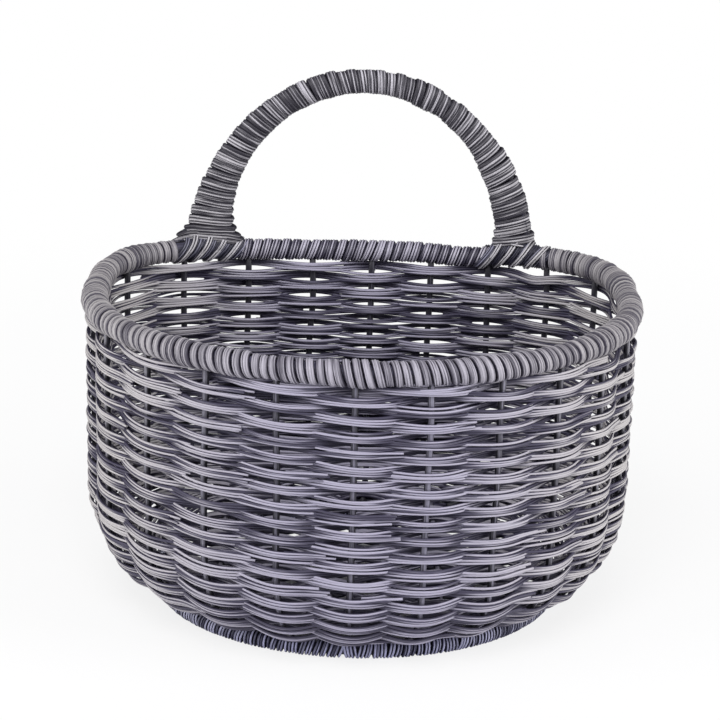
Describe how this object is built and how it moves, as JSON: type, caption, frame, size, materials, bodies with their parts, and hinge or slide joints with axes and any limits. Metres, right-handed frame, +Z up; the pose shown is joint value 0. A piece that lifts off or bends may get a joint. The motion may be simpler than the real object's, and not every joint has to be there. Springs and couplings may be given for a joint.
{
  "type": "storage basket",
  "caption": "Half-round wicker storage basket with a bound rim, a foot ring and a fixed bow at its flat back, to stand or to hang.",
  "frame": {"origin": "under the middle of the basket, on the plane that its foot ring stands on", "axes": "+Z up, +X to the right of someone who faces the rounded front, +Y towards the flat back with the bow"},
  "size_m": [0.17, 0.13, 0.154],
  "materials": {
    "weave": "grey-washed cane strands, satin",
    "stake": "dark grey cane, satin",
    "strap": "grey-washed cane strap with fine grooves along it, satin",
    "rod": "plain dark cane, matt"
  },
  "bodies": {
    "root": {"rim_rod": "rod", "rim_binding_right": "strap", "rim_binding_left": "strap", "rim_binding_back": "strap", "bow_lashing_right": "strap", "bow_lashing_left": "strap", "bow_rod_outer": "rod", "bow_rod_inner": "rod", "bow_binding": "strap", "foot_rod": "rod", "foot_binding": "strap", "floor_panel": "weave", "floor_bar_1": "stake", "floor_bar_2": "stake", "floor_bar_3": "stake", "floor_bar_4": "stake", "floor_bar_5": "stake", "floor_bar_6": "stake", "woven_wall": "weave", "stake_01": "stake", "stake_02": "stake", "stake_03": "stake", "stake_04": "stake", "stake_05": "stake", "stake_06": "stake", "stake_07": "stake", "stake_08": "stake", "stake_09": "stake", "stake_10": "stake", "stake_11": "stake", "stake_12": "stake", "stake_13": "stake", "stake_14": "stake", "stake_15": "stake", "stake_16": "stake", "stake_17": "stake", "stake_18": "stake", "stake_19": "stake", "stake_20": "stake", "stake_21": "stake", "stake_22": "stake", "stake_23": "stake"}
  },
  "joints": []
}
